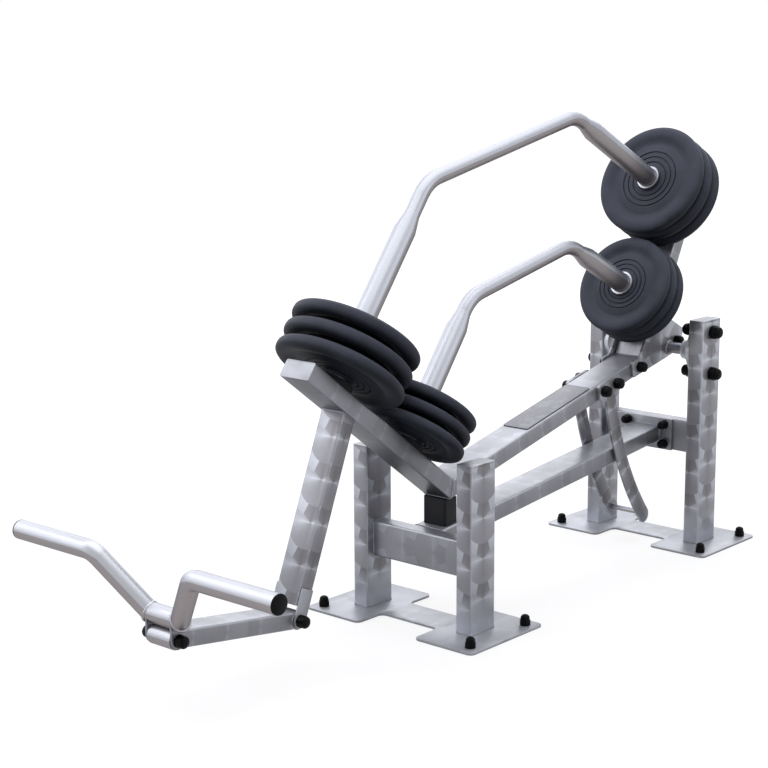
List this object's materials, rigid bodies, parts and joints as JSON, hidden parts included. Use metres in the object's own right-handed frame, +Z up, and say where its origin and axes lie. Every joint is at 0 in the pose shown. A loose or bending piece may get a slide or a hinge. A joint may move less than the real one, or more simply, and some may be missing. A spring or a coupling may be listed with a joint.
{
  "type": "biceps machine",
  "caption": "Outdoor biceps curl machine: a hinged lever arm carries sliding discs on bent tubes above floor-fixed posts, with a bent pull handle on a link under its front end.",
  "frame": {"origin": "under the middle of the front base plate, on the floor", "axes": "+Z up, +Y from the handle end back to the lever's hinge, +X to the right as the user faces the machine from its handle end"},
  "size_m": [0.901, 2.3136, 1.3588],
  "materials": {
    "ground_steel": "stainless steel ground in overlapping swirls",
    "polished_tube": "polished stainless tube",
    "bearing_casting": "cast and zinc plated",
    "disc_rubber": "satin moulded rubber",
    "buffer_rubber": "matte rubber",
    "cap_plastic": "black moulded plastic",
    "info_plate": "bare satin sheet, weathered"
  },
  "bodies": {
    "base": {"front_base_plate": "ground_steel", "rear_base_plate": "ground_steel", "front_left_post": "ground_steel", "front_right_post": "ground_steel", "rear_left_post": "ground_steel", "rear_right_post": "ground_steel", "front_crossbar": "ground_steel", "rear_crossbar": "ground_steel", "lower_beam": "ground_steel", "beam_flange": "ground_steel", "stop_block": "buffer_rubber", "left_bearing_housing": "bearing_casting", "right_bearing_housing": "bearing_casting", "left_upper_bearing_bolt": "cap_plastic", "left_lower_bearing_bolt": "cap_plastic", "right_upper_bearing_bolt": "cap_plastic", "right_lower_bearing_bolt": "cap_plastic"},
    "lever": {"main_arm": "ground_steel", "inclined_beam": "ground_steel", "riser": "ground_steel", "left_side_plate": "ground_steel", "right_side_plate": "ground_steel", "front_side_bolt": "cap_plastic", "rear_side_bolt": "cap_plastic", "hinge_axle": "polished_tube", "hanger": "ground_steel", "hanger_left_ear": "ground_steel", "hanger_right_ear": "ground_steel", "hanger_pivot_bolt": "cap_plastic", "left_hoop_bar": "ground_steel", "right_hoop_bar": "ground_steel", "front_hoop_bolt": "cap_plastic", "rear_hoop_bolt": "cap_plastic", "hoop_pin": "polished_tube", "info_plate": "info_plate", "upper_weight_tube": "polished_tube", "lower_weight_tube": "polished_tube", "front_upper_buffer": "buffer_rubber", "front_lower_buffer": "buffer_rubber", "rear_upper_buffer": "buffer_rubber", "rear_lower_buffer": "buffer_rubber"},
    "link": {"link": "ground_steel"},
    "handle": {"handle_bar": "polished_tube", "handle_left_ear": "ground_steel", "handle_right_ear": "ground_steel", "handle_pivot_bolt": "cap_plastic", "left_grip_plug": "cap_plastic", "right_grip_plug": "cap_plastic"},
    "front_upper_1": {"front_upper_disc_1": "disc_rubber"},
    "front_upper_2": {"front_upper_disc_2": "disc_rubber"},
    "front_upper_3": {"front_upper_disc_3": "disc_rubber"},
    "front_lower_1": {"front_lower_disc_1": "disc_rubber"},
    "front_lower_2": {"front_lower_disc_2": "disc_rubber"},
    "front_lower_3": {"front_lower_disc_3": "disc_rubber"},
    "rear_upper_1": {"rear_upper_disc_1": "disc_rubber"},
    "rear_upper_2": {"rear_upper_disc_2": "disc_rubber"},
    "rear_upper_3": {"rear_upper_disc_3": "disc_rubber"},
    "rear_lower_1": {"rear_lower_disc_1": "disc_rubber"},
    "rear_lower_2": {"rear_lower_disc_2": "disc_rubber"},
    "rear_lower_3": {"rear_lower_disc_3": "disc_rubber"}
  },
  "joints": [
    {"name": "arm", "type": "hinge", "parent": "base", "child": "lever", "pos_m": [0, 1.13, 0.61], "axis": [-1, 0, 0], "range_deg": [0, 34.6]},
    {"name": "link_pivot", "type": "hinge", "parent": "lever", "child": "link", "pos_m": [0, -0.52634, 0.13716], "axis": [-1, 0, 0], "range_deg": [-20, 35]},
    {"name": "handle_pivot", "type": "hinge", "parent": "link", "child": "handle", "pos_m": [0, -0.92833, 0.19409], "axis": [-1, 0, 0], "range_deg": [-100, 31]},
    {"name": "front_upper_slide_1", "type": "slide", "parent": "lever", "child": "front_upper_1", "axis": [0, 0.5982, 0.8014], "range_m": [0, 0.09]},
    {"name": "front_upper_slide_2", "type": "slide", "parent": "front_upper_1", "child": "front_upper_2", "axis": [0, 0.5982, 0.8014], "range_m": [0, 0.09]},
    {"name": "front_upper_slide_3", "type": "slide", "parent": "front_upper_2", "child": "front_upper_3", "axis": [0, 0.5982, 0.8014], "range_m": [0, 0.09]},
    {"name": "front_lower_slide_1", "type": "slide", "parent": "lever", "child": "front_lower_1", "axis": [0, 0.5982, 0.8014], "range_m": [0, 0.065]},
    {"name": "front_lower_slide_2", "type": "slide", "parent": "front_lower_1", "child": "front_lower_2", "axis": [0, 0.5982, 0.8014], "range_m": [0, 0.065]},
    {"name": "front_lower_slide_3", "type": "slide", "parent": "front_lower_2", "child": "front_lower_3", "axis": [0, 0.5982, 0.8014], "range_m": [0, 0.065]},
    {"name": "rear_upper_slide_1", "type": "slide", "parent": "lever", "child": "rear_upper_1", "axis": [0, -0.8894, 0.4571], "range_m": [0, 0.09]},
    {"name": "rear_upper_slide_2", "type": "slide", "parent": "rear_upper_1", "child": "rear_upper_2", "axis": [0, -0.8894, 0.4571], "range_m": [0, 0.09]},
    {"name": "rear_upper_slide_3", "type": "slide", "parent": "rear_upper_2", "child": "rear_upper_3", "axis": [0, -0.8894, 0.4571], "range_m": [0, 0.09]},
    {"name": "rear_lower_slide_1", "type": "slide", "parent": "lever", "child": "rear_lower_1", "axis": [0, -0.8894, 0.4571], "range_m": [0, 0.055]},
    {"name": "rear_lower_slide_2", "type": "slide", "parent": "rear_lower_1", "child": "rear_lower_2", "axis": [0, -0.8894, 0.4571], "range_m": [0, 0.055]},
    {"name": "rear_lower_slide_3", "type": "slide", "parent": "rear_lower_2", "child": "rear_lower_3", "axis": [0, -0.8894, 0.4571], "range_m": [0, 0.055]}
  ]
}
